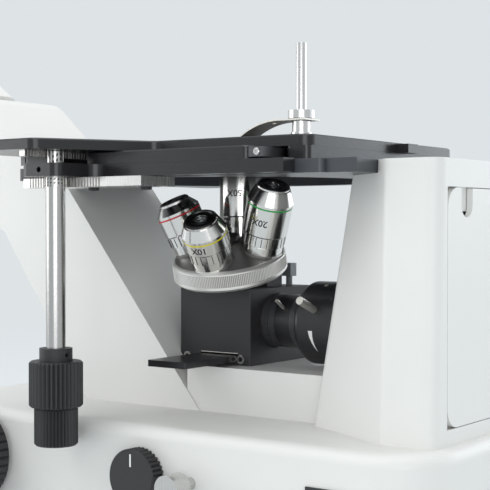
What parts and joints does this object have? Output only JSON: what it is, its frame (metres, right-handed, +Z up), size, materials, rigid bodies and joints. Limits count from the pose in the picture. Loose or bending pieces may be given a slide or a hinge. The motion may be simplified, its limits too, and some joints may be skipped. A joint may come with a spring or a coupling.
{
  "type": "inverted_microscope",
  "caption": "Inverted metallurgical microscope: white stand, black mechanical stage with coaxial drive, turret of objectives, side illuminator and binocular head",
  "frame": {"origin": "on the table, below the middle of the outline in plan", "axes": "+X to the user's right, +Y from the user towards the lamp column, +Z up"},
  "size_m": [0.271, 0.515, 0.3297],
  "materials": {
    "white_paint": "satin warm white enamel",
    "black_anodise": "satin black anodised",
    "dark_paint": "matte black",
    "black_plastic": "moulded, fine grain",
    "rubber": "soft matte",
    "steel": "turned",
    "chrome": "bright plated",
    "glass": "clear polished",
    "ceramic": "lamp socket"
  },
  "bodies": {
    "stand": {"base_housing": "white_paint", "bottom_cover": "steel", "rubber_feet": "rubber", "front_arm": "white_paint", "rear_column": "white_paint", "lamp_holder": "ceramic", "halogen_lamp": "glass", "stage_fixed_plate": "black_anodise", "y_rack": "steel", "filter_box": "dark_paint", "box_screws": "steel", "reflector_housing": "dark_paint", "beam_splitter": "glass", "illuminator_tube": "black_anodise", "lamp_tube": "black_anodise", "focus_stop_post": "steel", "camera_port": "black_anodise", "switch_frame": "black_plastic", "power_inlet": "black_plastic", "head_mount": "steel", "head_body": "white_paint"},
    "stage_y": {"stage_carriage": "black_anodise", "carriage_side_bar": "black_anodise", "x_guide_strips": "steel"},
    "stage_x": {"stage_top_plate": "black_anodise", "x_rails": "black_anodise", "x_rack": "steel", "stage_insert": "black_anodise", "clip_post": "steel"},
    "stage_clip": {"clip_leaf": "steel"},
    "y_drive": {"y_drive_tube": "steel", "y_drive_knob": "black_plastic"},
    "x_drive": {"x_drive_shaft": "steel", "x_drive_knob": "black_plastic"},
    "slider": {"analyser_slider": "black_anodise"},
    "field_stop": {"field_stop_ring": "black_anodise", "field_stop_lever": "steel"},
    "aperture_stop": {"aperture_ring": "black_anodise", "aperture_lever": "steel"},
    "nosepiece": {"turret_base": "dark_paint", "nosepiece_slide": "dark_paint"},
    "turret": {"turret": "chrome", "objective_5": "chrome", "objective_10": "chrome", "objective_20": "chrome", "objective_50": "chrome", "objective_front_lenses": "glass"},
    "coarse_focus": {"coarse_focus_drive": "black_plastic"},
    "fine_focus": {"fine_focus_drive": "black_plastic"},
    "selector": {"path_selector": "steel"},
    "dial": {"intensity_dial": "black_plastic"},
    "rocker": {"power_rocker": "black_plastic"},
    "door": {"lamp_door": "white_paint"},
    "left_tube": {"left_eye_tube": "black_anodise", "left_eyepiece": "black_plastic", "left_eyecup": "rubber"},
    "right_tube": {"right_eye_tube": "black_anodise", "right_eyepiece": "black_plastic", "right_eyecup": "rubber"},
    "diopter": {"diopter_ring": "black_plastic"}
  },
  "joints": [
    {"name": "stage_y", "type": "slide", "parent": "stand", "child": "stage_y", "axis": [0, 1, 0], "range_m": [-0.015, 0.015]},
    {"name": "stage_x", "type": "slide", "parent": "stage_y", "child": "stage_x", "axis": [1, 0, 0], "range_m": [-0.014, 0.034]},
    {"name": "clip_swing", "type": "hinge", "parent": "stage_x", "child": "stage_clip", "pos_m": [0.066, 0.17049, 0.217], "axis": [0, 0, 1], "range_deg": [-60, 60]},
    {"name": "y_drive_turn", "type": "hinge", "parent": "stage_y", "child": "y_drive", "pos_m": [0.1137, 0.04749, 0.1], "axis": [0, 0, 1], "range_deg": [-151, 151]},
    {"name": "x_drive_turn", "type": "hinge", "parent": "stage_y", "child": "x_drive", "pos_m": [0.1137, 0.04749, 0.1], "axis": [0, 0, 1], "range_deg": [-189, 459]},
    {"name": "slider_push", "type": "slide", "parent": "stand", "child": "slider", "axis": [1, 0, 0], "range_m": [-0.014, 0.006]},
    {"name": "field_stop_turn", "type": "hinge", "parent": "stand", "child": "field_stop", "pos_m": [0, 0.12349, 0.1112], "axis": [0, 1, 0], "range_deg": [-40, 40]},
    {"name": "aperture_turn", "type": "hinge", "parent": "stand", "child": "aperture_stop", "pos_m": [0, 0.14649, 0.1112], "axis": [0, 1, 0], "range_deg": [-35, 35]},
    {"name": "nosepiece_focus", "type": "slide", "parent": "stand", "child": "nosepiece", "axis": [0, 0, 1], "range_m": [-0.0015, 0.0045]},
    {"name": "turret_turn", "type": "hinge", "parent": "nosepiece", "child": "turret", "pos_m": [0, 0.08549, 0.0917], "axis": [0.3017, 0.0669, 0.9511], "continuous": true},
    {"name": "coarse_turn", "type": "hinge", "parent": "stand", "child": "coarse_focus", "pos_m": [0, -0.02651, 0.036], "axis": [1, 0, 0], "range_deg": [-54, 162]},
    {"name": "fine_turn", "type": "hinge", "parent": "stand", "child": "fine_focus", "pos_m": [0, -0.02651, 0.036], "axis": [1, 0, 0], "continuous": true},
    {"name": "path_select", "type": "slide", "parent": "stand", "child": "selector", "axis": [1, 0, 0], "range_m": [-0.008, 0]},
    {"name": "intensity_turn", "type": "hinge", "parent": "stand", "child": "dial", "pos_m": [0.098, 0.09349, 0.036], "axis": [1, 0, 0], "range_deg": [0, 270]},
    {"name": "rocker_tilt", "type": "hinge", "parent": "stand", "child": "rocker", "pos_m": [0.097, 0.20549, 0.036], "axis": [0, 0, 1], "range_deg": [-6, 6]},
    {"name": "door_swing", "type": "hinge", "parent": "stand", "child": "door", "pos_m": [-0.0605, 0.24799, 0.126], "axis": [0, 0, 1], "range_deg": [0, 95]},
    {"name": "left_tube_swing", "type": "hinge", "parent": "stand", "child": "left_tube", "pos_m": [0, -0.19201, 0.2642], "axis": [0, -0.7071, 0.7071], "range_deg": [0, 42]},
    {"name": "right_tube_swing", "type": "hinge", "parent": "stand", "child": "right_tube", "pos_m": [0, -0.19909, 0.27127], "axis": [0, -0.7071, 0.7071], "range_deg": [-42, 0]},
    {"name": "diopter_turn", "type": "hinge", "parent": "left_tube", "child": "diopter", "pos_m": [-0.035, -0.2203, 0.29249], "axis": [0, -0.7071, 0.7071], "range_deg": [-60, 60]}
  ],
  "couplings": [
    {"joint": "y_drive_turn", "follows": "stage_y", "rad_per_m": 175.44},
    {"joint": "x_drive_turn", "follows": "stage_x", "rad_per_m": 235.29},
    {"joint": "coarse_turn", "follows": "nosepiece_focus", "rad_per_m": 628.32},
    {"joint": "right_tube_swing", "follows": "left_tube_swing", "ratio": -1}
  ]
}
